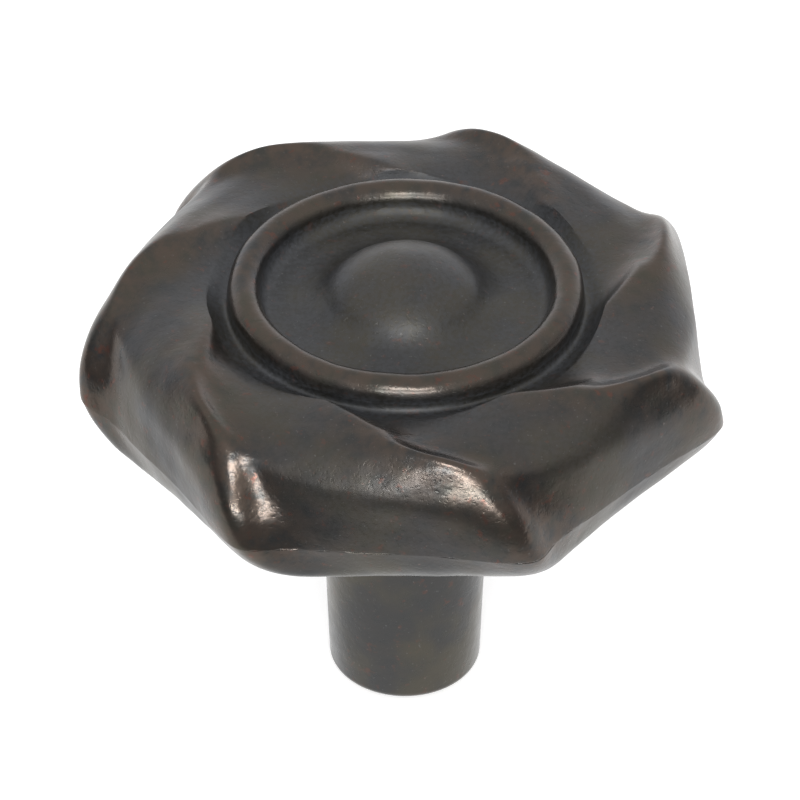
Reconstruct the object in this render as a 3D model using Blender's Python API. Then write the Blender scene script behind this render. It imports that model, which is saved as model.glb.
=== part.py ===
"""Cabinet knob with seven swirling folds, cast in one piece.

The head carries a round bead with a dished centre and a button in it. Seven folds
leave the foot of the bead, sweep round the head as they go outward, and end in the
seven corners of the rim. A tapered post stands under the head, with a blind screw
hole in its end. Lengths are in metres, angles in degrees. The knob stands on the
end of its post: that face is at height zero and its centre is the origin.
"""

import math

import bmesh
import bpy

# Heights
BEAD_TOP_HEIGHT = 0.0292
RIM_BELOW_BEAD = 0.00565

# Button in the middle of the dish: the cap of a flattened ball, with a cove round it
BUTTON_HALF_WIDTH = 0.0052
BUTTON_HALF_HEIGHT = 0.00375
BUTTON_ABOVE_BEAD = 0.0011
BUTTON_SIDE_SLOPE = 50.0

# Bead, the dish inside it and how far down its outer side stays round
BEAD_CIRCLE_RADIUS = 0.0096
BEAD_RADIUS = 0.00096
BEAD_SIDE_END = -20.0
DISH_DEPTH = 0.0018

# Groove round the bead: the wreath's inner side runs on into it, for this many degrees
# of section, to stay clear of the bead's side and near the groove's floor
GROOVE_DEPTH = 0.0022
GROOVE_RUN_ON = 12.0
GROOVE_CLEARANCE = 0.0001
GROOVE_BANK = 0.0005

# Wreath of folds: its section is a rounded lozenge carried round this circle, flatter
# or rounder on each side, with its top set inward. Roundness 2 is an ellipse.
WREATH_CIRCLE_RADIUS = 0.01455
WREATH_HALF_WIDTH = 0.00355
WREATH_RISE = 0.0048
WREATH_INNER_FALL = 0.0019
WREATH_DROP = 0.0042
WREATH_TOP_INSET = 0.00055
ROUNDNESS_OUTWARD = 2.75
ROUNDNESS_INWARD = 2.15
ROUNDNESS_UP_AND_DOWN = 2.2

# Folds
FOLD_COUNT = 7
FIRST_CREST_ANGLE = 234.5

# Swelling of the rim behind each crest: its size, how far behind the crest in a
# seventh of a turn counted as 360 degrees, and how far it reaches along the section
RIM_SWELL = 0.0005
RIM_SWELL_BEHIND = 50.0
RIM_SWELL_REACH = 28.0

# Stations along the section, from the groove over the top to the underside: section
# angle, how far the crest has swept round, its lift and its spread, how pinched it is
# from 0 for a plain wave to 1 for a knife edge, how its lift leans, how its spread leans
STATIONS = (
    (150.0, 8.0, 0.00070, 0.00005, 0.60, 45.0, 0.0),
    (90.0, 31.0, 0.00055, 0.00010, 0.60, 45.0, 0.0),
    (40.0, 49.5, 0.00075, 0.00035, 0.70, 0.0, 60.0),
    (0.0, 58.5, 0.00020, 0.00150, 0.65, 70.0, 60.0),
    (-80.0, 64.5, 0.00000, 0.00150, 0.35, 30.0, -10.0),
)

# Post
POST_END_RADIUS = 0.00468
POST_DRAFT = 1.7
POST_FILLET = 0.0012
POST_EDGE_RADIUS = 0.0006

# Screw hole
HOLE_RADIUS = 0.00175
HOLE_DEPTH = 0.0160
HOLE_CHAMFER = 0.0004
HOLE_TIP_ANGLE = 118.0

# Fineness of the mesh: columns gathered towards the crests, and steps in each part
COLUMNS_PER_FOLD = 14
COLUMN_GATHER = 0.4
SECTION_STEPS = 18
BUTTON_STEPS = 6
FOOT_STEPS = 3
COVE_STEPS = 3
BEAD_STEPS = 8
GROOVE_STEPS = 4
FILLET_STEPS = 3
EDGE_STEPS = 3
WELD_DISTANCE = 1e-5
EDGE_ANGLE = 40.0

BRONZE = (0.078, 0.070, 0.064, 1.0)


def cos(degrees):
    return math.cos(math.radians(degrees))


def sin(degrees):
    return math.sin(math.radians(degrees))


def arc(centre, radius, start, end, steps):
    """Points (radius, height) of an arc, from the start angle to the end angle."""
    points = []
    for step in range(steps + 1):
        angle = start + (end - start) * step / steps
        points.append(
            (centre[0] + radius * cos(angle), centre[1] + radius * sin(angle))
        )
    return points


def bezier(first, first_control, last_control, last, steps):
    """Points strictly between the two ends of a cubic curve."""
    points = []
    for step in range(1, steps):
        t = step / steps
        weights = ((1 - t) ** 3, 3 * t * (1 - t) ** 2, 3 * t * t * (1 - t), t**3)
        ends = (first, first_control, last_control, last)
        points.append(
            tuple(sum(w * p[axis] for w, p in zip(weights, ends)) for axis in (0, 1))
        )
    return points


def station_values(section_angle):
    """Sweep and the other station values, on a smooth curve through the stations."""
    last = len(STATIONS) - 1
    index = 0
    while index < last - 1 and section_angle < STATIONS[index + 1][0]:
        index += 1
    here, after = STATIONS[index], STATIONS[index + 1]
    length = after[0] - here[0]
    t = (section_angle - here[0]) / length
    values = []
    for column in range(1, len(here)):
        slopes = []
        for place in (index, index + 1):
            low, high = STATIONS[max(place - 1, 0)], STATIONS[min(place + 1, last)]
            slopes.append((high[column] - low[column]) / (high[0] - low[0]) * length)
        values.append(
            here[column] * (1 + 2 * t) * (1 - t) ** 2
            + after[column] * t * t * (3 - 2 * t)
            + slopes[0] * t * (1 - t) ** 2
            - slopes[1] * t * t * (1 - t)
        )
    return values


def crest_wave(phase, pinch, lean):
    """A wave with one crest a turn: even with no lean, and steeper past the crest with it."""
    even = -0.5 * math.log(1 - 2 * pinch * math.cos(phase) + pinch**2)
    rising = math.atan2(pinch * math.sin(phase), 1 - pinch * math.cos(phase))
    return cos(lean) * even - sin(lean) * rising


def rounded(value, roundness):
    """The value's size raised to a power that rounds or squares the section."""
    return math.copysign(abs(value) ** (2 / roundness), value)


def wreath_point(section_angle, phase):
    """Radius and height of the wreath where the crest is this far round, in phase."""
    across, up = cos(section_angle), sin(section_angle)
    across = rounded(across, ROUNDNESS_OUTWARD if across > 0 else ROUNDNESS_INWARD)
    up = rounded(up, ROUNDNESS_UP_AND_DOWN)
    _, lift, spread, pinch, lift_lean, spread_lean = station_values(section_angle)
    radius = WREATH_CIRCLE_RADIUS + WREATH_HALF_WIDTH * across
    radius -= WREATH_TOP_INSET * max(up, 0.0)
    radius += spread * crest_wave(phase, pinch, spread_lean)
    nearness = math.exp(-((section_angle / RIM_SWELL_REACH) ** 2))
    swell = math.cos(phase - math.radians(RIM_SWELL_BEHIND))
    radius += RIM_SWELL * nearness * swell
    height = BEAD_TOP_HEIGHT - RIM_BELOW_BEAD
    if up < 0:
        height += WREATH_DROP * up
    elif across > 0:
        height += WREATH_RISE * up
    else:
        height += WREATH_RISE - WREATH_INNER_FALL * (1 - up)
    height += lift * crest_wave(phase, pinch, lift_lean)
    return radius, height


def groove_point(bead_side, start, phase, step):
    """A point of the groove, between the bead's side and the wreath's first row."""
    floor = BEAD_TOP_HEIGHT - GROOVE_DEPTH
    fold_side = wreath_point(start, phase)
    further = wreath_point(start - GROOVE_RUN_ON, phase)
    bank = (
        max(2 * fold_side[0] - further[0], bead_side[0] + GROOVE_CLEARANCE),
        min(2 * fold_side[1] - further[1], floor + GROOVE_BANK),
    )
    below = (bead_side[0], floor)
    return bezier(bead_side, below, bank, fold_side, GROOVE_STEPS)[step - 1]


def button_profile():
    """The button, from its top down to where its side is steepest."""
    squash = BUTTON_HALF_HEIGHT / BUTTON_HALF_WIDTH
    end = math.degrees(math.atan2(squash, math.tan(math.radians(BUTTON_SIDE_SLOPE))))
    centre = BEAD_TOP_HEIGHT + BUTTON_ABOVE_BEAD - BUTTON_HALF_HEIGHT
    return [
        (radius, centre + rise * squash)
        for radius, rise in arc((0.0, 0.0), BUTTON_HALF_WIDTH, 90.0, end, BUTTON_STEPS)
    ]


def head_top_profile():
    """The turned middle of the head, from the top of the button to the bead's side."""
    floor = BEAD_TOP_HEIGHT - DISH_DEPTH
    button = button_profile()
    side_radius, side_height = button[-1]
    foot = (side_height - floor) / (1 - cos(BUTTON_SIDE_SLOPE))
    foot_centre = (side_radius + foot * sin(BUTTON_SIDE_SLOPE), floor + foot)
    cove = DISH_DEPTH - BEAD_RADIUS
    cove_centre = (BEAD_CIRCLE_RADIUS - BEAD_RADIUS - cove, floor + cove)
    bead_centre = (BEAD_CIRCLE_RADIUS, BEAD_TOP_HEIGHT - BEAD_RADIUS)
    return (
        button
        + arc(foot_centre, foot, 270.0 - BUTTON_SIDE_SLOPE, 270.0, FOOT_STEPS)[1:]
        + arc(cove_centre, cove, -90.0, 0.0, COVE_STEPS)
        + arc(bead_centre, BEAD_RADIUS, 180.0, BEAD_SIDE_END, BEAD_STEPS)[1:]
    )


def post_profile(underside):
    """The post, from the underside of the head to the tip of the screw hole."""
    lean = math.tan(math.radians(POST_DRAFT))
    post_top = POST_END_RADIUS + underside * lean
    fillet_centre = (post_top + POST_FILLET, underside - POST_FILLET)
    edge_centre = (POST_END_RADIUS - POST_EDGE_RADIUS, POST_EDGE_RADIUS)
    mouth = HOLE_RADIUS + HOLE_CHAMFER
    tip = HOLE_DEPTH + HOLE_RADIUS / math.tan(math.radians(HOLE_TIP_ANGLE / 2))
    return (
        arc(fillet_centre, POST_FILLET, 90.0, 180.0 - POST_DRAFT, FILLET_STEPS)
        + arc(edge_centre, POST_EDGE_RADIUS, -POST_DRAFT, -90.0, EDGE_STEPS)
        + [
            (mouth, 0.0),
            (HOLE_RADIUS, HOLE_CHAMFER),
            (HOLE_RADIUS, HOLE_DEPTH),
            (0.0, tip),
        ]
    )


def knob_mesh():
    """Turns the whole profile round, then carves the folds into the wreath's rows."""
    start, end = STATIONS[0][0], STATIONS[-1][0]
    section_angles = [
        start + (end - start) * step / SECTION_STEPS for step in range(SECTION_STEPS + 1)
    ]
    underside = BEAD_TOP_HEIGHT - RIM_BELOW_BEAD - WREATH_DROP
    top = head_top_profile()
    bottom = post_profile(underside)

    rows = [("turned", point) for point in top]
    rows += [("groove", step) for step in range(1, GROOVE_STEPS)]
    rows += [("wreath", angle) for angle in section_angles]
    rows += [("turned", point) for point in bottom]

    sweeps = {angle: station_values(angle)[0] for angle in section_angles}
    columns = COLUMNS_PER_FOLD * FOLD_COUNT

    bm = bmesh.new()
    row_layer = bm.verts.layers.int.new("row")
    chain = []
    for index in range(len(rows)):
        on_axis = index in (0, len(rows) - 1)
        vertex = bm.verts.new((0.0 if on_axis else 1.0, 0.0, float(-index)))
        vertex[row_layer] = index
        chain.append(vertex)
    for first, second in zip(chain, chain[1:]):
        bm.edges.new((first, second))
    bmesh.ops.spin(
        bm,
        geom=bm.verts[:] + bm.edges[:],
        cent=(0.0, 0.0, 0.0),
        axis=(0.0, 0.0, 1.0),
        angle=2 * math.pi,
        steps=columns,
        use_merge=True,
        use_duplicate=False,
    )
    bmesh.ops.remove_doubles(bm, verts=bm.verts[:], dist=WELD_DISTANCE)

    wreath_started = False
    row_sweeps = []
    for kind, value in rows:
        if kind == "wreath":
            wreath_started = True
            row_sweeps.append(sweeps[value])
        else:
            row_sweeps.append(sweeps[end] if wreath_started else sweeps[start])

    bead_side = top[-1]
    for vertex in bm.verts:
        kind, value = rows[vertex[row_layer]]
        turn = math.atan2(vertex.co.y, vertex.co.x)
        even_phase = turn * FOLD_COUNT
        phase = even_phase - COLUMN_GATHER * math.sin(even_phase)
        if kind == "turned":
            phase = even_phase
            radius, height = value
        elif kind == "wreath":
            radius, height = wreath_point(value, phase)
        else:
            radius, height = groove_point(bead_side, start, phase, value)
        sweep = row_sweeps[vertex[row_layer]]
        place = math.radians(FIRST_CREST_ANGLE + sweep) + phase / FOLD_COUNT
        vertex.co = (radius * math.cos(place), radius * math.sin(place), height)

    if bm.calc_volume(signed=True) < 0:
        bmesh.ops.reverse_faces(bm, faces=bm.faces[:])
    mesh = bpy.data.meshes.new("knob")
    bm.to_mesh(mesh)
    bm.free()
    return mesh


def bronze():
    """Dark antique bronze, worn to a satin."""
    material = bpy.data.materials.new("aged bronze")
    material.use_nodes = True
    shader = material.node_tree.nodes["Principled BSDF"]
    shader.inputs["Base Color"].default_value = BRONZE
    shader.inputs["Metallic"].default_value = 1.0
    shader.inputs["Roughness"].default_value = 0.38
    return material


def make_knob():
    mesh = knob_mesh()
    knob = bpy.data.objects.new("knob", mesh)
    bpy.context.scene.collection.objects.link(knob)
    mesh.materials.append(bronze())
    mesh.shade_smooth()
    mesh.set_sharp_from_angle(angle=math.radians(EDGE_ANGLE))
    return knob


for leftover in list(bpy.data.objects):
    bpy.data.objects.remove(leftover, do_unlink=True)
make_knob()
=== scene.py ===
import math

import bpy
import numpy as np
from bpy.props import (
    FloatProperty,
    FloatVectorProperty,
    IntProperty,
    PointerProperty,
)
from mathutils import Matrix, Vector


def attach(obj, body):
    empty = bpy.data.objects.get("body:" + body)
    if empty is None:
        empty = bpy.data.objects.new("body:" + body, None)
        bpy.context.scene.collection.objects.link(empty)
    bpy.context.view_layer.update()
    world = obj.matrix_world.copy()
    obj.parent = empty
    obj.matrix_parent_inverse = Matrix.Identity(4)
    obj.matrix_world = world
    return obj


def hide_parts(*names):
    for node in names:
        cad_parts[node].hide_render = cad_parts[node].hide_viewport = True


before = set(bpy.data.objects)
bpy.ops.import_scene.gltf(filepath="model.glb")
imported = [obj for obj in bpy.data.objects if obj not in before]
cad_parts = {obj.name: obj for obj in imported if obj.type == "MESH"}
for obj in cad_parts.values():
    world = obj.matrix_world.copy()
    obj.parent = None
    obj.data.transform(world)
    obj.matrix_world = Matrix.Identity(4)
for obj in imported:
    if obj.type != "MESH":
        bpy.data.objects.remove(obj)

bl_info = {
    "name": "Folded Cabinet Knob",
    "version": (1, 0, 0),
    "blender": (4, 5, 0),
    "location": "View3D > Sidebar > Cabinet Knob",
    "description": "Casts a cabinet knob with swirling folds and sets a studio round it",
    "category": "Object",
}

CAD_NODE = "knob"
PIECE = "knob_casting"

MM = 0.001

# Width of the picture in pixels, and width of the camera's sensor in millimetres
IMAGE_SIDE = 800.0
SENSOR_WIDTH = 36.0
CAMERA_CLIP = (0.02, 20.0)

# Runs of wreath rows: first and last section angle and count, close at the parting line
SECTION_RUNS = ((128.0, -8.0, 42), (-9.0, -14.0, 16), (-17.0, -80.0, 20))

# Fineness: columns in one fold, how far they gather at the crests, and rows in each part
COLUMNS_PER_FOLD = 64
BORE_COLUMNS_PER_FOLD = 8
COLUMN_GATHER = 0.35
ROWS = {
    "button": 22,
    "foot": 8,
    "floor": 3,
    "cove": 8,
    "bead": 24,
    "groove": 20,
    "wreath": sum(run[2] for run in SECTION_RUNS),
    "under": 4,
    "fillet": 6,
    "post": 5,
    "edge": 6,
    "end": 2,
}
BORE_ROWS_PER_TURN = 7

# Slope in degrees of the button's side, where the dish's foot takes over from it
BUTTON_SIDE_SLOPE = 50.0

# The bead's outer side stays round down to this angle, and the groove starts there
BEAD_SIDE_END = -20.0

# The groove's outer bank is at least so far from the bead's side, and at most so high
# above the groove's floor
GROOVE_CLEARANCE = 0.1 * MM
GROOVE_BANK = 0.5 * MM

# Degrees of section to either side of the rim over which its swell fades
RIM_SWELL_REACH = 28.0

# The parting line: its section angle, and the degrees of section over which the lip, the
# scratch and the undercut fade, then the waves round the head that break up the scratch,
# each with its phase
PARTING_ANGLE = -11.5
LIP_FADE = 7.0
SCRATCH_FADE = 0.5
UNDERCUT_FADE = 12.0
SCRATCH_WAVES = ((9, 0.7), (23, 2.0), (61, 0.0))

# The post's fillet under the head and the rounding at its end
POST_FILLET = 1.2 * MM
POST_EDGE_RADIUS = 0.6 * MM

# The screw hole: depth and width of the lead-in at its mouth, the ring of flat in which
# its coarser rows are stitched to the post's end, and half the drill tip's angle in degrees
HOLE_LEAD_IN = 0.45 * MM
HOLE_STITCHING = 0.1 * MM
DRILL_HALF_ANGLE = 59.0

# The thread's wave, cut off flat at nought and one: its peak, and its fall for each pitch
# away from the peak. It has died away at the first distance above the hole's full depth,
# and starts to do so at the second.
THREAD_PEAK = 1.15
THREAD_FALL = 2.5
THREAD_END = 1.5 * MM
THREAD_FADE_START = 2.5 * MM

# Heights between which the casting's unevenness sets in above the flat end of the post
UNEVEN_FROM = (1.0 * MM, 2.0 * MM)

# Angle in degrees from which an edge between two faces is shaded sharp
SHARP_ANGLE = 45.0

# Stations along the section, from the groove over the top to the underside: section
# angle, how far the crest has swept round in degrees, its lift and its spread in
# millimetres, how pinched it is, how its lift leans and how its spread leans
STATIONS = np.array(
    [
        [150.0, 8.0, 0.70, 0.05, 0.60, 45.0, 0.0],
        [90.0, 31.0, 0.55, 0.10, 0.60, 45.0, 0.0],
        [40.0, 49.5, 0.75, 0.35, 0.70, 0.0, 60.0],
        [0.0, 58.5, 0.20, 1.50, 0.65, 70.0, 60.0],
        [-80.0, 64.5, 0.00, 1.50, 0.35, 30.0, -10.0],
    ]
)
ANGLE, SWEEP, LIFT, SPREAD, PINCH, LIFT_LEAN, SPREAD_LEAN = range(7)

# Slow unevenness of the casting: wave vectors in radians per millimetre, then phase
CASTING_WAVES = np.array(
    [
        [1.10, 0.35, 0.62, 0.4],
        [-0.52, 1.21, 0.33, 2.1],
        [0.41, -0.78, 1.35, 4.4],
        [1.75, 1.12, -0.84, 1.3],
        [-1.48, 0.92, 1.61, 5.2],
        [2.31, -1.66, 0.57, 3.0],
    ]
)

# Rubbed and dulled shares of each turned part, at its first row and at its last
WEAR = {
    "button": ((0.25, 0.10), (0.45, 0.60)),
    "foot": ((0.05, 0.05), (0.50, 0.60)),
    "floor": ((0.05, 0.05), (0.60, 0.70)),
    "cove": ((0.0, 0.0), (0.70, 0.90)),
    "fillet": ((0.0, 0.0), (0.40, 0.10)),
    "post": ((0.10, 0.10), (0.05, 0.05)),
    "edge": ((0.20, 0.50), (0.0, 0.0)),
    "end": ((0.15, 0.15), (0.10, 0.10)),
}
BORE_DULLED = 0.6

# The bead is rubbed by height, and more so outside its top, and is dulled by depth
BEAD_RUBBED = 0.8
BEAD_RUBBED_OUTSIDE = 0.4
BEAD_DULLED = 0.6

# The groove is dulled evenly, and more so in its middle
GROOVE_DULLED = 0.55
GROOVE_DULLED_MIDDLE = 0.45

# The wreath is rubbed between its rim and the groove, setting in over these section
# angles from below and from the groove. The share is even, with more on the crests, which
# are found by a wave of this pinch. It is dulled towards the groove and in the valleys.
RUBBED_FROM_BELOW = (-45.0, -15.0)
RUBBED_FROM_GROOVE = (162.0, 122.0)
RUBBED_EVENLY = 0.25
RUBBED_ON_CRESTS = 0.75
CREST_PINCH = 0.6
DULLED_TOWARDS_GROOVE = (85.0, 130.0)
DULLED_NEAR_GROOVE = 0.55
DULLED_IN_VALLEYS = 0.3

# The underside is dulled evenly, and more so towards the post
UNDERSIDE_DULLED = 0.1
UNDERSIDE_DULLED_INWARD = 0.3

# Noise in the finish: waves to the metre, detail and roughness
CLOUDS = (190.0, 3.0, 0.55)
DENTS = (620.0, 3.0, 0.55)
MOTTLE = (900.0, 4.0, 0.60)
SPOTS = (1300.0, 3.0, 0.65)
SPECKS = (3600.0, 2.0, 0.60)
GRAIN = (5200.0, 2.0, 0.50)

# Where on its noise each part of the finish sets in, and where it is full
OLIVE_RANGE = (0.40, 0.62)
RUBBED_RANGE = (0.30, 0.62)
FILM_RANGE = (0.40, 0.60)
PATCH_RANGE = (0.60, 0.35)
COPPER_RANGE = (0.60, 0.72)
DUST_RANGE = (0.66, 0.76)
PIT_RANGE = (0.30, 0.46)

# Shares of the finish: film evenly, in specks and in patches, copper spots evenly and
# where it is rubbed, dust, and how much of its metal the film takes away
FILM_EVENLY = 0.35
FILM_IN_SPECKS = 0.5
FILM_IN_PATCHES = 0.35
COPPER_EVENLY = 0.35
COPPER_WHERE_RUBBED = 0.55
DUST_SHARE = 0.30
METAL_UNDER_FILM = 0.55

# Roughness: the mottle's range and how far below the plain roughness it starts, what
# dulling adds and what rubbing takes away
ROUGH_MOTTLE = 0.24
ROUGH_START = 0.14
ROUGH_DULLED = 0.26
ROUGH_WORN = 0.08

# Relief: shares of the pits and the grain, and the strengths of the fine and broad bumps
PIT_RELIEF = 0.6
GRAIN_RELIEF = 0.35
FINE_BUMP = 0.25
BROAD_BUMP = 0.6

# The room: brightness of its walls, and the parts of the sky, as the height along one
# axis of the unit sphere, between which each wall blends into the next
SIDE_WALLS = (0.30, 0.30, 0.31)
BACKDROP = (1.25, 1.27, 1.34)
FRONT_WALL = (0.30, 0.30, 0.30)
CEILING = (0.88, 0.87, 0.86)
BACKDROP_RANGE = (0.05, 0.85)
FRONT_WALL_RANGE = (-0.45, -0.95)
CEILING_RANGE = (0.10, 0.70)

# The floor: half its width, how far it lies below the post, its glow to the camera, and
# its brightness in reflections, which dims towards the camera from one distance in front
# of the knob to the other
FLOOR_REACH = 4.0
FLOOR_DROP = 0.03 * MM
FLOOR_GLOW = 0.45
FLOOR_MIRRORED, FLOOR_MIRRORED_NEAR = 1.28, 0.40
FLOOR_DIM_START, FLOOR_DIM_END = -0.026, -0.070

# Lights: place, aim, width and height in metres, and power in watts
HEAD_CENTRE = (0.0, 0.0, 0.024)
STRIP = ((0.0, -0.71, 0.27), HEAD_CENTRE, 0.45, 0.025, 2.2)
SOFTBOX = ((0.0, -0.54, 0.52), HEAD_CENTRE, 0.22, 0.12, 1.5)


class KnobShape(bpy.types.PropertyGroup):
    """Sizes and shape of the knob"""

    bead_circle: FloatProperty(
        name="Bead Circle",
        description="Radius of the circle that the bead runs on",
        default=9.60 * MM,
        unit="LENGTH",
    )
    bead_radius: FloatProperty(
        name="Bead Radius",
        description="Radius of the bead's own section",
        default=0.96 * MM,
        unit="LENGTH",
    )
    bead_top: FloatProperty(
        name="Bead Top",
        description="Height of the bead's top above the end of the post",
        default=29.2 * MM,
        unit="LENGTH",
    )
    button_width: FloatProperty(
        name="Button Half Width",
        description="Half width of the flattened ball that the button is cut from",
        default=5.2 * MM,
        unit="LENGTH",
    )
    button_height: FloatProperty(
        name="Button Half Height",
        description="Half height of the flattened ball that the button is cut from",
        default=3.75 * MM,
        unit="LENGTH",
    )
    button_above: FloatProperty(
        name="Button Above Bead",
        description="How far the button stands above the bead",
        default=1.1 * MM,
        unit="LENGTH",
    )
    dish_depth: FloatProperty(
        name="Dish Depth",
        description="Depth of the dish below the bead's top",
        default=1.8 * MM,
        unit="LENGTH",
    )
    groove_depth: FloatProperty(
        name="Groove Depth",
        description="Depth below the bead's top that the groove's curve is drawn towards",
        default=2.2 * MM,
        unit="LENGTH",
    )
    groove_run_on: FloatProperty(
        name="Groove Run-on",
        description="Degrees of section over which the wreath runs on into the groove",
        default=math.radians(12.0),
        subtype="ANGLE",
    )
    wreath_circle: FloatProperty(
        name="Wreath Circle",
        description="Radius of the circle that the wreath of folds runs on",
        default=14.55 * MM,
        unit="LENGTH",
    )
    wreath_width: FloatProperty(
        name="Wreath Half Width",
        description="Half width of the wreath's section",
        default=3.55 * MM,
        unit="LENGTH",
    )
    wreath_rise: FloatProperty(
        name="Wreath Rise",
        description="Height of the wreath above its rim",
        default=4.8 * MM,
        unit="LENGTH",
    )
    wreath_inner_fall: FloatProperty(
        name="Wreath Inner Fall",
        description="How far the wreath falls from its top towards the bead",
        default=1.9 * MM,
        unit="LENGTH",
    )
    wreath_drop: FloatProperty(
        name="Wreath Drop",
        description="Depth of the wreath below its rim",
        default=4.4 * MM,
        unit="LENGTH",
    )
    wreath_inset: FloatProperty(
        name="Wreath Top Inset",
        description="How far inward the wreath's top is set",
        default=0.55 * MM,
        unit="LENGTH",
    )
    rim_below_bead: FloatProperty(
        name="Rim Below Bead",
        description="How far the rim lies below the bead's top",
        default=5.65 * MM,
        unit="LENGTH",
    )
    roundness: FloatVectorProperty(
        name="Section Roundness",
        description="Squareness of the section outward, inward and upward: 2 is round",
        default=(3.1, 2.15, 2.5),
        size=3,
    )
    rim_swell: FloatProperty(
        name="Rim Swell",
        description="How far the rim swells behind each crest",
        default=0.5 * MM,
        unit="LENGTH",
    )
    rim_swell_behind: FloatProperty(
        name="Rim Swell Behind",
        description="How far behind the crest the rim swells, in the phase of a fold",
        default=math.radians(50.0),
        subtype="ANGLE",
    )
    fold_count: IntProperty(
        name="Folds",
        description="Number of folds round the head",
        default=7,
        min=3,
    )
    first_crest: FloatProperty(
        name="First Crest",
        description="Angle of the first crest where it leaves the groove",
        default=math.radians(234.5),
        subtype="ANGLE",
    )
    post_radius: FloatProperty(
        name="Post Radius",
        description="Radius of the post at its end",
        default=4.68 * MM,
        unit="LENGTH",
    )
    post_draft: FloatProperty(
        name="Post Draft",
        description="Taper of the post",
        default=math.radians(1.7),
        subtype="ANGLE",
    )
    hole_radius: FloatProperty(
        name="Screw Hole Radius",
        description="Radius to the tops of the thread",
        default=1.70 * MM,
        unit="LENGTH",
    )
    thread_pitch: FloatProperty(
        name="Thread Pitch",
        description="Distance from one turn of the thread to the next",
        default=0.794 * MM,
        unit="LENGTH",
    )
    thread_depth: FloatProperty(
        name="Thread Depth",
        description="Depth of the thread",
        default=0.36 * MM,
        unit="LENGTH",
    )
    hole_depth: FloatProperty(
        name="Screw Hole Depth",
        description="Depth of the full diameter of the screw hole",
        default=16.0 * MM,
        unit="LENGTH",
    )
    parting_lip: FloatProperty(
        name="Parting Lip",
        description="Step left where the two halves of the mould met",
        default=0.045 * MM,
        unit="LENGTH",
    )
    undercut: FloatProperty(
        name="Undercut",
        description="How much further in the lower half of the rim turns",
        default=0.25 * MM,
        unit="LENGTH",
    )
    parting_cut: FloatProperty(
        name="Parting Cut",
        description="Depth of the broken scratch along the parting line",
        default=0.10 * MM,
        unit="LENGTH",
    )
    unevenness: FloatProperty(
        name="Casting Unevenness",
        description="Height of the slow waves left in the cast surface",
        default=0.018 * MM,
        unit="LENGTH",
    )


class KnobFinish(bpy.types.PropertyGroup):
    """Colours and texture of the knob's surface"""

    bronze: FloatVectorProperty(
        name="Bronze",
        description="Colour of the dark plated metal",
        default=(0.058, 0.059, 0.059),
        subtype="COLOR",
        size=3,
    )
    olive: FloatVectorProperty(
        name="Olive Bronze",
        description="Colour of the browner clouds in the plating",
        default=(0.078, 0.073, 0.060),
        subtype="COLOR",
        size=3,
    )
    rubbed: FloatVectorProperty(
        name="Rubbed Bronze",
        description="Warm colour where hands and cloth have rubbed the crests",
        default=(0.102, 0.081, 0.068),
        subtype="COLOR",
        size=3,
    )
    copper: FloatVectorProperty(
        name="Copper Spots",
        description="Colour of the small red-brown spots",
        default=(0.130, 0.068, 0.054),
        subtype="COLOR",
        size=3,
    )
    dust: FloatVectorProperty(
        name="Dust Specks",
        description="Colour of the tiny pale specks caught in the pits",
        default=(0.20, 0.20, 0.20),
        subtype="COLOR",
        size=3,
    )
    film: FloatVectorProperty(
        name="Dull Film",
        description="Colour of the blue-grey film left in the recesses",
        default=(0.060, 0.063, 0.069),
        subtype="COLOR",
        size=3,
    )
    roughness: FloatProperty(
        name="Satin Roughness",
        description="Roughness of the plain satin surface",
        default=0.31,
        subtype="FACTOR",
    )
    pitting: FloatProperty(
        name="Pitting",
        description="Depth of the fine pits of the casting",
        default=0.03 * MM,
        unit="LENGTH",
    )
    denting: FloatProperty(
        name="Denting",
        description="Depth of the small dents left in the cast surface",
        default=0.08 * MM,
        unit="LENGTH",
    )


class KnobStudio(bpy.types.PropertyGroup):
    """Place of the camera, and colour of the floor"""

    elevation: FloatProperty(
        name="Camera Elevation",
        description="Angle of the camera above the horizon",
        default=math.radians(38.277),
        subtype="ANGLE",
    )
    distance: FloatProperty(
        name="Camera Distance",
        description="Distance from the camera to the middle of the knob",
        default=320.00 * MM,
        unit="LENGTH",
    )
    scale: FloatProperty(
        name="Picture Scale",
        description="Pixels of the picture for each millimetre at the middle of the knob",
        default=16.627,
    )
    target: FloatVectorProperty(
        name="Camera Target",
        description="Point in the middle of the picture",
        default=(-0.332 * MM, 0.0, 19.929 * MM),
        subtype="TRANSLATION",
        size=3,
    )
    roll: FloatProperty(
        name="Camera Roll",
        description="Turn of the camera about its own axis",
        default=math.radians(0.119),
        subtype="ANGLE",
    )
    floor: FloatVectorProperty(
        name="Floor Colour",
        description="Colour of the studio floor",
        default=(0.9, 0.9, 0.9),
        subtype="COLOR",
        size=3,
    )


def share_between(value, start, full):
    """How far a value has come from the start to where it is full, as nought to one."""
    return np.clip((value - start) / (full - start), 0, 1)


def station_values(column, section):
    """A smooth curve through one column of the stations.

    Between two stations each value follows the cubic whose slopes at its ends are those
    of the lines through the stations on either side.
    """
    angles, values = STATIONS[:, ANGLE], STATIONS[:, column]
    last = len(angles) - 1
    low = np.clip(np.searchsorted(-angles, -section, side="right") - 1, 0, last - 1)
    places = np.arange(last + 1)
    before, after = np.maximum(places - 1, 0), np.minimum(places + 1, last)
    slopes = (values[after] - values[before]) / (angles[after] - angles[before])
    length = angles[low + 1] - angles[low]
    t = (section - angles[low]) / length
    return (
        values[low] * (1 + 2 * t) * (1 - t) ** 2
        + values[low + 1] * t * t * (3 - 2 * t)
        + slopes[low] * length * t * (1 - t) ** 2
        - slopes[low + 1] * length * t * t * (1 - t)
    )


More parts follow.
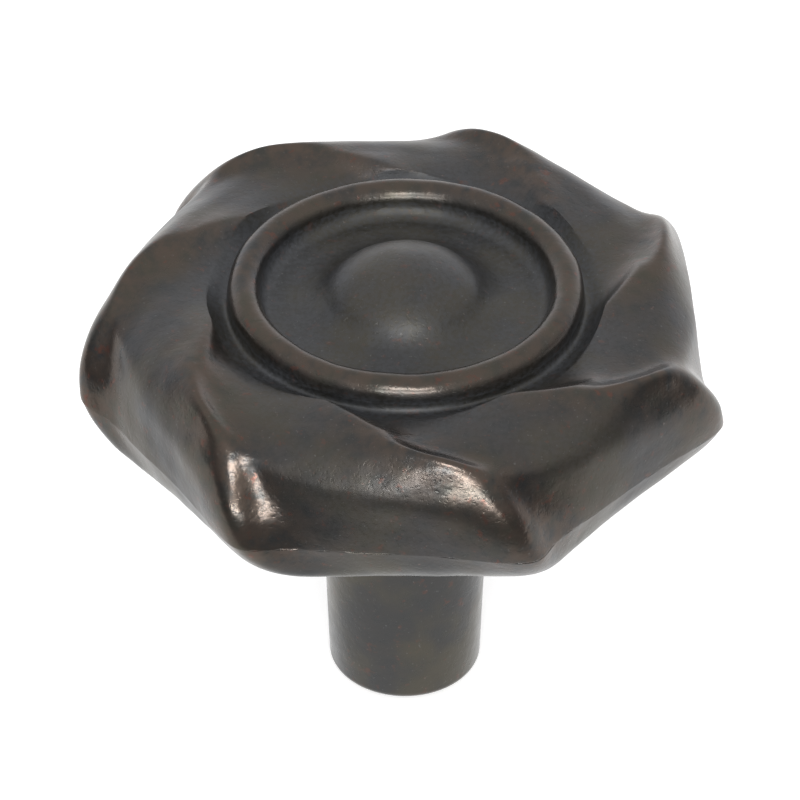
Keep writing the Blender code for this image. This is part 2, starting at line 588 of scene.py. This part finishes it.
def wave(phase, pinch, lean):
    """A wave with one crest a turn, steeper past the crest the more it leans.

    The even part is minus half the logarithm of 1 - 2k cos(phase) + k squared, and the
    rising part is the angle of the point (1 - k cos(phase), k sin(phase)), k being the
    pinch. The wave is cos(lean) times the first less sin(lean) times the second.
    """
    even = -0.5 * np.log(1 - 2 * pinch * np.cos(phase) + pinch**2)
    rising = np.arctan2(pinch * np.sin(phase), 1 - pinch * np.cos(phase))
    return np.cos(lean) * even - np.sin(lean) * rising


def power(value, exponent):
    """The value's size raised to the exponent, with the value's sign."""
    return np.sign(value) * np.abs(value) ** exponent


def wreath(shape, section, phase):
    """Radius and height of the wreath of folds over section angle and phase.

    A lozenge with rounded sides, whose half width and half height are raised to powers of
    the cosine and sine of the section angle, is carried round the wreath's circle, its top
    set inward and its inner side falling less than its outer one. The wave of the crests
    lifts it and spreads it, by amounts that follow the stations, and the rim swells with
    the cosine of the phase behind each crest, fading to either side of the rim as a bell.
    """
    turn = np.radians(section)
    across, up = np.cos(turn), np.sin(turn)
    outward, inward, upward = shape.roundness
    across = power(across, 2 / np.where(across > 0, outward, inward))
    up = power(up, 2 / upward)
    pinch = station_values(PINCH, section)
    lift_lean = np.radians(station_values(LIFT_LEAN, section))
    spread_lean = np.radians(station_values(SPREAD_LEAN, section))
    lift = station_values(LIFT, section) * MM * wave(phase, pinch, lift_lean)
    spread = station_values(SPREAD, section) * MM * wave(phase, pinch, spread_lean)
    near_rim = np.exp(-((section / RIM_SWELL_REACH) ** 2))
    swell = shape.rim_swell * near_rim * np.cos(phase - shape.rim_swell_behind)
    radius = shape.wreath_circle + shape.wreath_width * across + spread + swell
    radius = radius - shape.wreath_inset * np.maximum(up, 0)
    profile = np.where(
        up < 0,
        shape.wreath_drop * up,
        np.where(
            across > 0,
            shape.wreath_rise * up,
            shape.wreath_rise - shape.wreath_inner_fall * (1 - up),
        ),
    )
    height = shape.bead_top - shape.rim_below_bead + profile + lift
    return radius, height


def parting_line(shape, section, phase):
    """Outward step of the mould's parting line, with a broken scratch along it.

    Above the line the surface stands out by the lip, which dies away upwards as a bell.
    Below it the surface turns in, quickly at first, to the full undercut. A narrow bell is
    cut in at the line itself, where a sum of sines round the head is above nought.
    """
    above = section - PARTING_ANGLE
    around = phase / shape.fold_count
    lip = np.where(above > 0, np.exp(-((above / LIP_FADE) ** 2)), 0.0)
    broken = sum(np.sin(count * around + start) for count, start in SCRATCH_WAVES)
    cut = np.clip(broken, 0, 1) * np.exp(-((above / SCRATCH_FADE) ** 2))
    under = 1 - np.exp(np.minimum(above, 0) / UNDERCUT_FADE)
    return shape.parting_lip * lip - shape.parting_cut * cut - shape.undercut * under


def groove(shape, side, phase, t):
    """Radius and height of the groove from the bead's side, at t 0, to the wreath, at t 1.

    A cubic curve with four poles: the bead's side, the groove's floor below it, the point
    that the wreath's inner side runs on to, and the wreath's first row.
    """
    start = SECTION_RUNS[0][0]
    floor = shape.bead_top - shape.groove_depth
    fold_radius, fold_height = wreath(shape, np.array([[start]]), phase)
    further = start - math.degrees(shape.groove_run_on)
    further_radius, further_height = wreath(shape, np.array([[further]]), phase)
    bank_radius = np.maximum(2 * fold_radius - further_radius, side[0] + GROOVE_CLEARANCE)
    bank_height = np.minimum(2 * fold_height - further_height, floor + GROOVE_BANK)
    shares = (1 - t) ** 3, 3 * t * (1 - t) ** 2, 3 * t * t * (1 - t), t**3
    poles_out = side[0], side[0], bank_radius, fold_radius
    poles_up = side[1], floor, bank_height, fold_height
    radius = sum(share * pole for share, pole in zip(shares, poles_out))
    height = sum(share * pole for share, pole in zip(shares, poles_up))
    return radius, height


def arc(centre, radius, start, end, count):
    """Radius and height of points along an arc, its first point left out."""
    angle = np.radians(np.linspace(start, end, count + 1)[1:])
    return centre[0] + radius * np.cos(angle), centre[1] + radius * np.sin(angle)


def line(first, last, count):
    """Radius and height of points along a line, its first point left out."""
    t = np.linspace(0, 1, count + 1)[1:]
    return first[0] + (last[0] - first[0]) * t, first[1] + (last[1] - first[1]) * t


def knob_rows(shape):
    """Radius, height and turn of every point, with its rubbed and dulled shares.

    Each row is a closed curve round the axis. The first rows are circles that trace the
    button, the dish and the bead. The groove is a cubic curve from the bead's side to the
    wreath's inner edge. Under the wreath the rows narrow to a circle, and the last rows
    are circles that follow the fillet, the post and its end to the mouth of the hole.
    """
    folds = shape.fold_count
    columns = COLUMNS_PER_FOLD * folds
    even_phase = np.linspace(0, 2 * np.pi * folds, columns, endpoint=False)
    phase = even_phase - COLUMN_GATHER * np.sin(even_phase)
    crest = wave(phase, CREST_PINCH, 0.0)
    crest = (crest - crest.min()) / (crest.max() - crest.min())
    all_round = np.ones((1, columns))

    blocks = []

    def turned(part, points, sweep, wear=None):
        """Adds the circles of one turned part, and gives back its last point."""
        radius, height = points
        if wear is None:
            wear = [np.linspace(*ends, ROWS[part]) for ends in WEAR[part]]
        rubbed, dulled = wear
        blocks.append(
            (
                radius[:, None] * all_round,
                height[:, None] * all_round,
                np.full((len(radius), columns), sweep),
                rubbed[:, None] * all_round,
                dulled[:, None] * all_round,
            )
        )
        return radius[-1], height[-1]

    top = shape.bead_top
    run_ends = np.array([SECTION_RUNS[0][0], SECTION_RUNS[-1][1]])
    start_sweep, end_sweep = np.radians(station_values(SWEEP, run_ends))

    width, tall = shape.button_width, shape.button_height
    slope = math.radians(BUTTON_SIDE_SLOPE)
    end = math.degrees(math.atan2(tall / width, math.tan(slope)))
    angle = np.radians(np.linspace(90, end, ROWS["button"] + 1)[1:])
    centre = top + shape.button_above - tall
    button = width * np.cos(angle), centre + tall * np.sin(angle)
    side = turned("button", button, start_sweep)

    floor = top - shape.dish_depth
    foot = (side[1] - floor) / (1 - math.cos(slope))
    foot_centre = (side[0] + foot * math.sin(slope), floor + foot)
    foot_rows = arc(foot_centre, foot, 270.0 - BUTTON_SIDE_SLOPE, 270.0, ROWS["foot"])
    turned("foot", foot_rows, start_sweep)

    cove = shape.dish_depth - shape.bead_radius
    cove_centre = (shape.bead_circle - shape.bead_radius - cove, floor + cove)
    floor_rows = line((foot_centre[0], floor), (cove_centre[0], floor), ROWS["floor"])
    turned("floor", floor_rows, start_sweep)
    turned("cove", arc(cove_centre, cove, -90.0, 0.0, ROWS["cove"]), start_sweep)

    bead_arc = np.radians(np.linspace(180, BEAD_SIDE_END, ROWS["bead"] + 1)[1:])
    outside = np.cos(bead_arc) > 0
    rubbed = np.clip(np.sin(bead_arc) + BEAD_RUBBED_OUTSIDE * outside, 0, 1)
    dulled = (1 - np.sin(bead_arc)) ** 2
    bead_centre = (shape.bead_circle, top - shape.bead_radius)
    side_point = turned(
        "bead",
        arc(bead_centre, shape.bead_radius, 180.0, BEAD_SIDE_END, ROWS["bead"]),
        start_sweep,
        (BEAD_RUBBED * rubbed, BEAD_DULLED * dulled),
    )

    t = np.linspace(0, 1, ROWS["groove"] + 2)[1:-1, None]
    groove_radius, groove_height = groove(shape, side_point, phase[None, :], t)
    groove_dulled = GROOVE_DULLED + GROOVE_DULLED_MIDDLE * np.sin(np.pi * t)
    blocks.append(
        (
            groove_radius,
            groove_height,
            np.full_like(groove_radius, start_sweep),
            np.zeros_like(groove_radius),
            all_round * groove_dulled,
        )
    )

    sections = np.concatenate([np.linspace(*run) for run in SECTION_RUNS])
    fold_radius, fold_height = wreath(shape, sections[:, None], phase[None, :])
    fold_radius = fold_radius + parting_line(shape, sections[:, None], phase[None, :])
    window = share_between(sections, *RUBBED_FROM_BELOW)
    window = (window * share_between(sections, *RUBBED_FROM_GROOVE))[:, None]
    falls = share_between(sections, *DULLED_TOWARDS_GROOVE)[:, None] ** 1.5
    blocks.append(
        (
            fold_radius,
            fold_height,
            all_round * np.radians(station_values(SWEEP, sections))[:, None],
            window * (RUBBED_EVENLY + RUBBED_ON_CRESTS * crest),
            DULLED_NEAR_GROOVE * falls + DULLED_IN_VALLEYS * (1 - crest) ** 3 * window,
        )
    )

    underside = top - shape.rim_below_bead - shape.wreath_drop
    post_top = shape.post_radius + underside * math.tan(shape.post_draft)
    inner = post_top + POST_FILLET
    t = np.linspace(0, 1, ROWS["under"] + 1)[1:, None]
    under_radius = fold_radius[-1:] + (inner - fold_radius[-1:]) * t
    blocks.append(
        (
            under_radius,
            fold_height[-1:] + (underside - fold_height[-1:]) * t,
            np.full_like(under_radius, end_sweep),
            np.zeros_like(under_radius),
            all_round * (UNDERSIDE_DULLED + UNDERSIDE_DULLED_INWARD * t),
        )
    )

    draft = math.degrees(shape.post_draft)
    fillet_centre = (inner, underside - POST_FILLET)
    fillet_rows = arc(fillet_centre, POST_FILLET, 90.0, 180.0 - draft, ROWS["fillet"])
    last = turned("fillet", fillet_rows, end_sweep)
    edge_centre = (shape.post_radius - POST_EDGE_RADIUS, POST_EDGE_RADIUS)
    edge_start = (
        edge_centre[0] + POST_EDGE_RADIUS * math.cos(shape.post_draft),
        edge_centre[1] - POST_EDGE_RADIUS * math.sin(shape.post_draft),
    )
    turned("post", line(last, edge_start, ROWS["post"]), end_sweep)
    edge_rows = arc(edge_centre, POST_EDGE_RADIUS, -draft, -90.0, ROWS["edge"])
    last = turned("edge", edge_rows, end_sweep)
    mouth = shape.hole_radius + HOLE_LEAD_IN + HOLE_STITCHING
    turned("end", line(last, (mouth, 0.0), ROWS["end"]), end_sweep)

    radius, height, sweep, rubbed, dulled = (
        np.concatenate([block[place] for block in blocks]) for place in range(5)
    )
    straight = np.ones(len(radius), bool)
    first_folded = sum(ROWS[n] for n in ("button", "foot", "floor", "cove", "bead"))
    straight[first_folded : first_folded + ROWS["groove"] + ROWS["wreath"]] = False
    turn = (
        shape.first_crest + sweep + np.where(straight[:, None], even_phase, phase) / folds
    )
    return radius, height, turn, rubbed, dulled


def unit_normals(points):
    """Outward unit normals of a closed grid of points, rows downwards and columns round."""
    down = np.gradient(points, axis=0)
    round_ = np.roll(points, -1, axis=1) - np.roll(points, 1, axis=1)
    normal = np.cross(down, round_)
    return normal / (np.linalg.norm(normal, axis=2, keepdims=True) + 1e-18)


def unevenness(points):
    """Sum of slow sine waves through space, each of its own direction and phase."""
    waves = CASTING_WAVES
    angle = points / MM @ waves[:, :3].T + waves[:, 3]
    return np.sin(angle).sum(axis=2) / np.sqrt(len(waves))


def bore_points(shape, columns):
    """The screw hole: a helical thread in a drilled hole, down to the cone of the drill.

    The radius is the thread's top plus its depth times a flattened triangle wave of height
    over pitch less turn, which dies away above the hole's full depth. The first row is the
    mouth, which is wider by the lead-in.
    """
    depth = shape.hole_depth
    rows = int(depth / shape.thread_pitch * BORE_ROWS_PER_TURN)
    turn = np.linspace(0, 2 * np.pi, columns, endpoint=False)
    turn = turn + shape.first_crest + math.radians(STATIONS[-1, SWEEP])
    height = np.linspace(HOLE_LEAD_IN, depth, rows)[:, None]
    saw = np.mod(height / shape.thread_pitch - turn[None, :] / (2 * np.pi), 1.0)
    tooth = np.clip(THREAD_PEAK - THREAD_FALL * np.abs(saw - 0.5), 0, 1)
    fade = share_between(height, depth - THREAD_END, depth - THREAD_FADE_START)
    radius = shape.hole_radius + shape.thread_depth * tooth * fade
    mouth = np.full((1, columns), shape.hole_radius + HOLE_LEAD_IN)
    radius = np.concatenate([mouth, radius])
    height = np.concatenate([[[0.0]], height])
    return np.stack(
        [
            radius * np.cos(turn),
            radius * np.sin(turn),
            height * np.ones_like(radius),
        ],
        axis=2,
    )


def grid_faces(first, rows, columns):
    """Quads of a closed grid of points numbered row by row."""
    row, column = np.meshgrid(np.arange(rows - 1), np.arange(columns), indexing="ij")
    here = first + row * columns + column
    beside = first + row * columns + (column + 1) % columns
    return np.stack([here, here + columns, beside + columns, beside], axis=2).reshape(-1, 4)


def fan_faces(pole, ring, columns, cap):
    """Triangles from a pole to the ring that starts at a number, as a cap or a hollow."""
    here = ring + np.arange(columns)
    beside = ring + (np.arange(columns) + 1) % columns
    tip = np.full(columns, pole)
    return np.stack([tip, here, beside] if cap else [tip, beside, here], axis=1)


def stitch_faces(outer, outer_columns, inner, inner_columns):
    """Triangles between a fine ring and a coarse one whose count divides it."""
    step = outer_columns // inner_columns
    here = np.arange(outer_columns)
    beside = (here + 1) % outer_columns
    near = ((here + step // 2) // step) % inner_columns
    fine = np.stack([outer + here, inner + near, outer + beside], axis=1)
    low = np.arange(inner_columns)
    high = (low + 1) % inner_columns
    middle = (low * step + step - step // 2) % outer_columns
    coarse = np.stack([inner + low, inner + high, outer + middle], axis=1)
    return fine, coarse


def casting_mesh(shape):
    """The whole knob as one closed skin."""
    radius, height, turn, rubbed, dulled = knob_rows(shape)
    points = np.stack([radius * np.cos(turn), radius * np.sin(turn), height], axis=2)
    rows, columns = radius.shape
    above_end = share_between(height, *UNEVEN_FROM)
    lumps = shape.unevenness * unevenness(points) * above_end
    points = points + unit_normals(points) * lumps[:, :, None]

    bore_columns = BORE_COLUMNS_PER_FOLD * shape.fold_count
    bore = bore_points(shape, bore_columns)
    bore_rows = bore.shape[0]
    cone = shape.hole_radius / math.tan(math.radians(DRILL_HALF_ANGLE))
    tip_height = shape.hole_depth + cone
    top = shape.bead_top + shape.button_above

    first_bore = 1 + rows * columns
    tip = first_bore + bore_rows * bore_columns
    verts = np.concatenate(
        [
            [[0.0, 0.0, top]],
            points.reshape(-1, 3),
            bore.reshape(-1, 3),
            [[0.0, 0.0, tip_height]],
        ]
    )
    last_ring = 1 + (rows - 1) * columns
    last_bore = first_bore + (bore_rows - 1) * bore_columns
    fine, coarse = stitch_faces(last_ring, columns, first_bore, bore_columns)
    quads = np.concatenate(
        [
            grid_faces(1, rows, columns),
            grid_faces(first_bore, bore_rows, bore_columns),
        ]
    )
    triangles = np.concatenate(
        [
            fan_faces(0, 1, columns, True),
            fine,
            coarse,
            fan_faces(tip, last_bore, bore_columns, False),
        ]
    )
    mesh = bpy.data.meshes.new(PIECE)
    mesh.from_pydata(verts.tolist(), [], quads.tolist() + triangles.tolist())
    wears = (("rubbed", rubbed, 0.0), ("dulled", dulled, BORE_DULLED))
    for name, values, in_bore in wears:
        layer = mesh.attributes.new(name, "FLOAT", "POINT")
        bore_values = np.full(1 + bore_rows * bore_columns, in_bore)
        everywhere = np.concatenate([[values[0, 0]], values.ravel(), bore_values])
        layer.data.foreach_set("value", everywhere.astype(np.float32))
    mesh.shade_smooth()
    mesh.set_sharp_from_angle(angle=math.radians(SHARP_ANGLE))
    return mesh


def add(tree, kind, **settings):
    """A new node, with its properties set by name and its sockets by number."""
    node = tree.nodes.new(kind)
    for name, value in settings.items():
        if name.startswith("in_"):
            node.inputs[int(name[3:])].default_value = value
        else:
            setattr(node, name, value)
    return node


def math_node(tree, operation, first, second=None, third=None, clamp=False):
    """A maths node between links or numbers; its result is returned."""
    node = tree.nodes.new("ShaderNodeMath")
    node.operation = operation
    node.use_clamp = clamp
    for place, value in enumerate((first, second, third)):
        if value is None:
            continue
        if isinstance(value, (int, float)):
            node.inputs[place].default_value = value
        else:
            tree.links.new(value, node.inputs[place])
    return node.outputs[0]


def mix_colours(tree, share, first, second):
    """Blends two colours, each a link or a plain colour."""
    node = tree.nodes.new("ShaderNodeMix")
    node.data_type = "RGBA"
    for name, value in (("Factor_Float", share), ("A_Color", first), ("B_Color", second)):
        socket = next(s for s in node.inputs if s.identifier == name)
        if hasattr(value, "is_linked"):
            tree.links.new(value, socket)
        elif isinstance(value, (int, float)):
            socket.default_value = value
        else:
            socket.default_value = (*value[:3], 1.0)
    return next(s for s in node.outputs if s.identifier == "Result_Color")


def ramp_node(tree, value, low, high):
    """Maps a range onto nought to one, smoothly."""
    node = tree.nodes.new("ShaderNodeMapRange")
    node.interpolation_type = "SMOOTHSTEP"
    tree.links.new(value, node.inputs["Value"])
    node.inputs["From Min"].default_value = low
    node.inputs["From Max"].default_value = high
    return node.outputs["Result"]


def noise_node(tree, place, scale, detail, roughness):
    """Noise in object space, so many waves to the metre."""
    node = tree.nodes.new("ShaderNodeTexNoise")
    tree.links.new(place, node.inputs["Vector"])
    node.inputs["Scale"].default_value = scale
    node.inputs["Detail"].default_value = detail
    node.inputs["Roughness"].default_value = roughness
    return node.outputs["Fac"]


def bump_node(tree, height, strength, distance):
    """A bump of so much strength and depth in metres."""
    node = tree.nodes.new("ShaderNodeBump")
    node.inputs["Strength"].default_value = strength
    node.inputs["Distance"].default_value = distance
    tree.links.new(height, node.inputs["Height"])
    return node


def aged_bronze(finish):
    """Dark bronze plate: dull film in the recesses, warm metal rubbed bare on the crests."""
    material = bpy.data.materials.new("aged bronze")
    material.use_nodes = True
    tree = material.node_tree
    shader = tree.nodes["Principled BSDF"]
    place = add(tree, "ShaderNodeTexCoord").outputs["Object"]
    rubbed = add(tree, "ShaderNodeAttribute", attribute_name="rubbed").outputs["Fac"]
    dulled = add(tree, "ShaderNodeAttribute", attribute_name="dulled").outputs["Fac"]

    clouds = noise_node(tree, place, *CLOUDS)
    mottle = noise_node(tree, place, *MOTTLE)
    spots = noise_node(tree, place, *SPOTS)
    specks = noise_node(tree, place, *SPECKS)
    grain = noise_node(tree, place, *GRAIN)
    dents = noise_node(tree, place, *DENTS)

    browner = ramp_node(tree, clouds, *OLIVE_RANGE)
    colour = mix_colours(tree, browner, finish.bronze, finish.olive)
    worn = math_node(tree, "MULTIPLY", rubbed, ramp_node(tree, mottle, *RUBBED_RANGE))
    colour = mix_colours(tree, worn, colour, finish.rubbed)
    speckled = ramp_node(tree, specks, *FILM_RANGE)
    speckled = math_node(tree, "MULTIPLY_ADD", speckled, FILM_IN_SPECKS, FILM_EVENLY)
    patches = ramp_node(tree, clouds, *PATCH_RANGE)
    patches = math_node(tree, "MULTIPLY", patches, FILM_IN_PATCHES)
    film = math_node(tree, "ADD", speckled, patches)
    film = math_node(tree, "MULTIPLY", dulled, film, clamp=True)
    colour = mix_colours(tree, film, colour, finish.film)
    bare = math_node(tree, "MULTIPLY_ADD", rubbed, COPPER_WHERE_RUBBED, COPPER_EVENLY)
    spotted = ramp_node(tree, spots, *COPPER_RANGE)
    spotted = math_node(tree, "MULTIPLY", spotted, bare, clamp=True)
    colour = mix_colours(tree, spotted, colour, finish.copper)
    dusty = ramp_node(tree, grain, *DUST_RANGE)
    dusty = math_node(tree, "MULTIPLY", dusty, DUST_SHARE)
    colour = mix_colours(tree, dusty, colour, finish.dust)
    tree.links.new(colour, shader.inputs["Base Color"])

    start = finish.roughness - ROUGH_START
    rough = math_node(tree, "MULTIPLY_ADD", mottle, ROUGH_MOTTLE, start)
    rough = math_node(tree, "MULTIPLY_ADD", dulled, ROUGH_DULLED, rough)
    smoothed = math_node(tree, "MULTIPLY", worn, ROUGH_WORN)
    rough = math_node(tree, "SUBTRACT", rough, smoothed, clamp=True)
    tree.links.new(rough, shader.inputs["Roughness"])
    metal = math_node(tree, "MULTIPLY_ADD", film, -METAL_UNDER_FILM, 1.0)
    tree.links.new(metal, shader.inputs["Metallic"])

    pits = ramp_node(tree, specks, *PIT_RANGE)
    pits = math_node(tree, "MULTIPLY", pits, PIT_RELIEF)
    relief = math_node(tree, "MULTIPLY_ADD", grain, GRAIN_RELIEF, pits)
    fine = bump_node(tree, relief, FINE_BUMP, finish.pitting)
    broad = bump_node(tree, dents, BROAD_BUMP, finish.denting)
    tree.links.new(fine.outputs["Normal"], broad.inputs["Normal"])
    tree.links.new(broad.outputs["Normal"], shader.inputs["Normal"])
    return material


def mix_shaders(tree, share, first, second):
    """Blends two shaders by a share, all three of them links."""
    node = tree.nodes.new("ShaderNodeMixShader")
    for place, link in enumerate((share, first, second)):
        tree.links.new(link, node.inputs[place])
    return node.outputs[0]


def floor_material(studio):
    """Pale matt floor, near white to the camera and clear from below.

    In reflections it gives off a light of its own instead, dim at its near end.
    """
    material = bpy.data.materials.new("studio floor")
    material.use_nodes = True
    tree = material.node_tree
    output = tree.nodes["Material Output"]
    tree.nodes.remove(tree.nodes["Principled BSDF"])
    place = add(tree, "ShaderNodeTexCoord").outputs["Object"]
    split = add(tree, "ShaderNodeSeparateXYZ")
    tree.links.new(place, split.inputs[0])
    seen = add(tree, "ShaderNodeLightPath").outputs
    below = add(tree, "ShaderNodeNewGeometry").outputs["Backfacing"]

    far = ramp_node(tree, split.outputs["Y"], FLOOR_DIM_END, FLOOR_DIM_START)
    gain = FLOOR_MIRRORED - FLOOR_MIRRORED_NEAR
    mirrored = math_node(tree, "MULTIPLY_ADD", far, gain, FLOOR_MIRRORED_NEAR)
    mirrored = math_node(tree, "MULTIPLY", mirrored, seen["Is Glossy Ray"])
    by_eye = math_node(tree, "MULTIPLY", seen["Is Camera Ray"], FLOOR_GLOW)
    glow = add(tree, "ShaderNodeEmission")
    tree.links.new(math_node(tree, "ADD", by_eye, mirrored), glow.inputs["Strength"])

    matt = add(tree, "ShaderNodeBsdfDiffuse", in_0=(*studio.floor, 1.0)).outputs[0]
    dark = add(tree, "ShaderNodeEmission", in_1=0.0).outputs[0]
    clear = add(tree, "ShaderNodeBsdfTransparent").outputs[0]
    lit = add(tree, "ShaderNodeAddShader")
    base = mix_shaders(tree, seen["Is Glossy Ray"], matt, dark)
    tree.links.new(base, lit.inputs[0])
    tree.links.new(glow.outputs[0], lit.inputs[1])
    sides = mix_shaders(tree, below, lit.outputs[0], clear)
    tree.links.new(sides, output.inputs["Surface"])
    return material


def studio_world():
    """A room with a bright backdrop, a plain ceiling, and dim walls in front and beside."""
    world = bpy.data.worlds.new("studio")
    world.use_nodes = True
    tree = world.node_tree
    background = tree.nodes["Background"]
    place = add(tree, "ShaderNodeTexCoord").outputs["Generated"]
    split = add(tree, "ShaderNodeSeparateXYZ")
    tree.links.new(place, split.inputs[0])
    behind = ramp_node(tree, split.outputs["Y"], *BACKDROP_RANGE)
    walls = mix_colours(tree, behind, SIDE_WALLS, BACKDROP)
    ahead = ramp_node(tree, split.outputs["Y"], *FRONT_WALL_RANGE)
    walls = mix_colours(tree, ahead, walls, FRONT_WALL)
    overhead = ramp_node(tree, split.outputs["Z"], *CEILING_RANGE)
    colour = mix_colours(tree, overhead, walls, CEILING)
    tree.links.new(colour, background.inputs["Color"])
    background.inputs["Strength"].default_value = 1.0
    bpy.context.scene.world = world


def area_light(name, place, aim, width, height, power):
    """A rectangular light turned to its aim, which the camera doesn't see."""
    light = bpy.data.lights.new(name, "AREA")
    light.shape = "RECTANGLE"
    light.size = width
    light.size_y = height
    light.energy = power
    lamp = bpy.data.objects.new(name, light)
    lamp.visible_camera = False
    lamp.location = place
    back = Vector(place) - Vector(aim)
    lamp.rotation_mode = "QUATERNION"
    lamp.rotation_quaternion = back.to_track_quat("Z", "Y")
    bpy.context.scene.collection.objects.link(lamp)


def aim_camera(studio):
    """A camera on the photograph's line of sight, its lens set by the picture's scale."""
    camera = bpy.data.cameras.new("camera")
    camera.sensor_width = SENSOR_WIDTH
    camera.lens = studio.scale / MM * studio.distance / IMAGE_SIDE * SENSOR_WIDTH
    camera.clip_start, camera.clip_end = CAMERA_CLIP
    holder = bpy.data.objects.new("camera", camera)
    up = studio.elevation
    back = Vector((0.0, -math.cos(up), math.sin(up)))
    level = Vector((1.0, 0.0, 0.0))
    above = back.cross(level)
    roll = studio.roll
    right = level * math.cos(roll) + above * math.sin(roll)
    above = above * math.cos(roll) - level * math.sin(roll)
    frame_axes = Matrix((right, above, back)).transposed().to_4x4()
    place = Vector(studio.target) + back * studio.distance
    holder.matrix_world = Matrix.Translation(place) @ frame_axes
    bpy.context.scene.collection.objects.link(holder)
    bpy.context.scene.camera = holder


class KNOB_OT_cast(bpy.types.Operator):
    """Cast the knob: its folded head, its post and the threaded screw hole"""

    bl_idname = "knob.cast"
    bl_label = "Cast Knob"

    def execute(self, context):
        mesh = casting_mesh(context.scene.knob_shape)
        piece = bpy.data.objects.new(PIECE, mesh)
        context.scene.collection.objects.link(piece)
        mesh.materials.append(aged_bronze(context.scene.knob_finish))
        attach(piece, "root")
        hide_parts(CAD_NODE)
        return {"FINISHED"}


class KNOB_OT_studio(bpy.types.Operator):
    """Set the pale floor, the soft lights and the camera round the knob"""

    bl_idname = "knob.studio"
    bl_label = "Set Studio"

    def execute(self, context):
        scene = context.scene
        studio = scene.knob_studio
        mesh = bpy.data.meshes.new("floor")
        signs = ((-1, -1), (1, -1), (1, 1), (-1, 1))
        corners = [(x * FLOOR_REACH, y * FLOOR_REACH, -FLOOR_DROP) for x, y in signs]
        mesh.from_pydata(corners, [], [(0, 1, 2, 3)])
        mesh.materials.append(floor_material(studio))
        floor = bpy.data.objects.new("floor", mesh)
        scene.collection.objects.link(floor)
        studio_world()
        area_light("front strip", *STRIP)
        area_light("upper softbox", *SOFTBOX)
        aim_camera(studio)
        scene.view_settings.view_transform = "Standard"
        return {"FINISHED"}


class KNOB_PT_panel(bpy.types.Panel):
    """Settings of the knob and its studio, with a button for each"""

    bl_label = "Cabinet Knob"
    bl_idname = "KNOB_PT_panel"
    bl_space_type = "VIEW_3D"
    bl_region_type = "UI"
    bl_category = "Cabinet Knob"

    def draw(self, context):
        for group in ("knob_shape", "knob_finish", "knob_studio"):
            settings = getattr(context.scene, group)
            box = self.layout.box()
            for name in settings.__annotations__:
                box.prop(settings, name)
        self.layout.operator("knob.cast")
        self.layout.operator("knob.studio")


CLASSES = (
    KnobShape,
    KnobFinish,
    KnobStudio,
    KNOB_OT_cast,
    KNOB_OT_studio,
    KNOB_PT_panel,
)


def register():
    for kind in CLASSES:
        bpy.utils.register_class(kind)
    bpy.types.Scene.knob_shape = PointerProperty(type=KnobShape)
    bpy.types.Scene.knob_finish = PointerProperty(type=KnobFinish)
    bpy.types.Scene.knob_studio = PointerProperty(type=KnobStudio)


def unregister():
    for name in ("knob_shape", "knob_finish", "knob_studio"):
        delattr(bpy.types.Scene, name)
    for kind in reversed(CLASSES):
        bpy.utils.unregister_class(kind)


def main():
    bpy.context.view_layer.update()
    register()
    bpy.ops.knob.cast()
    bpy.ops.knob.studio()


if __name__ == "__main__":
    main()
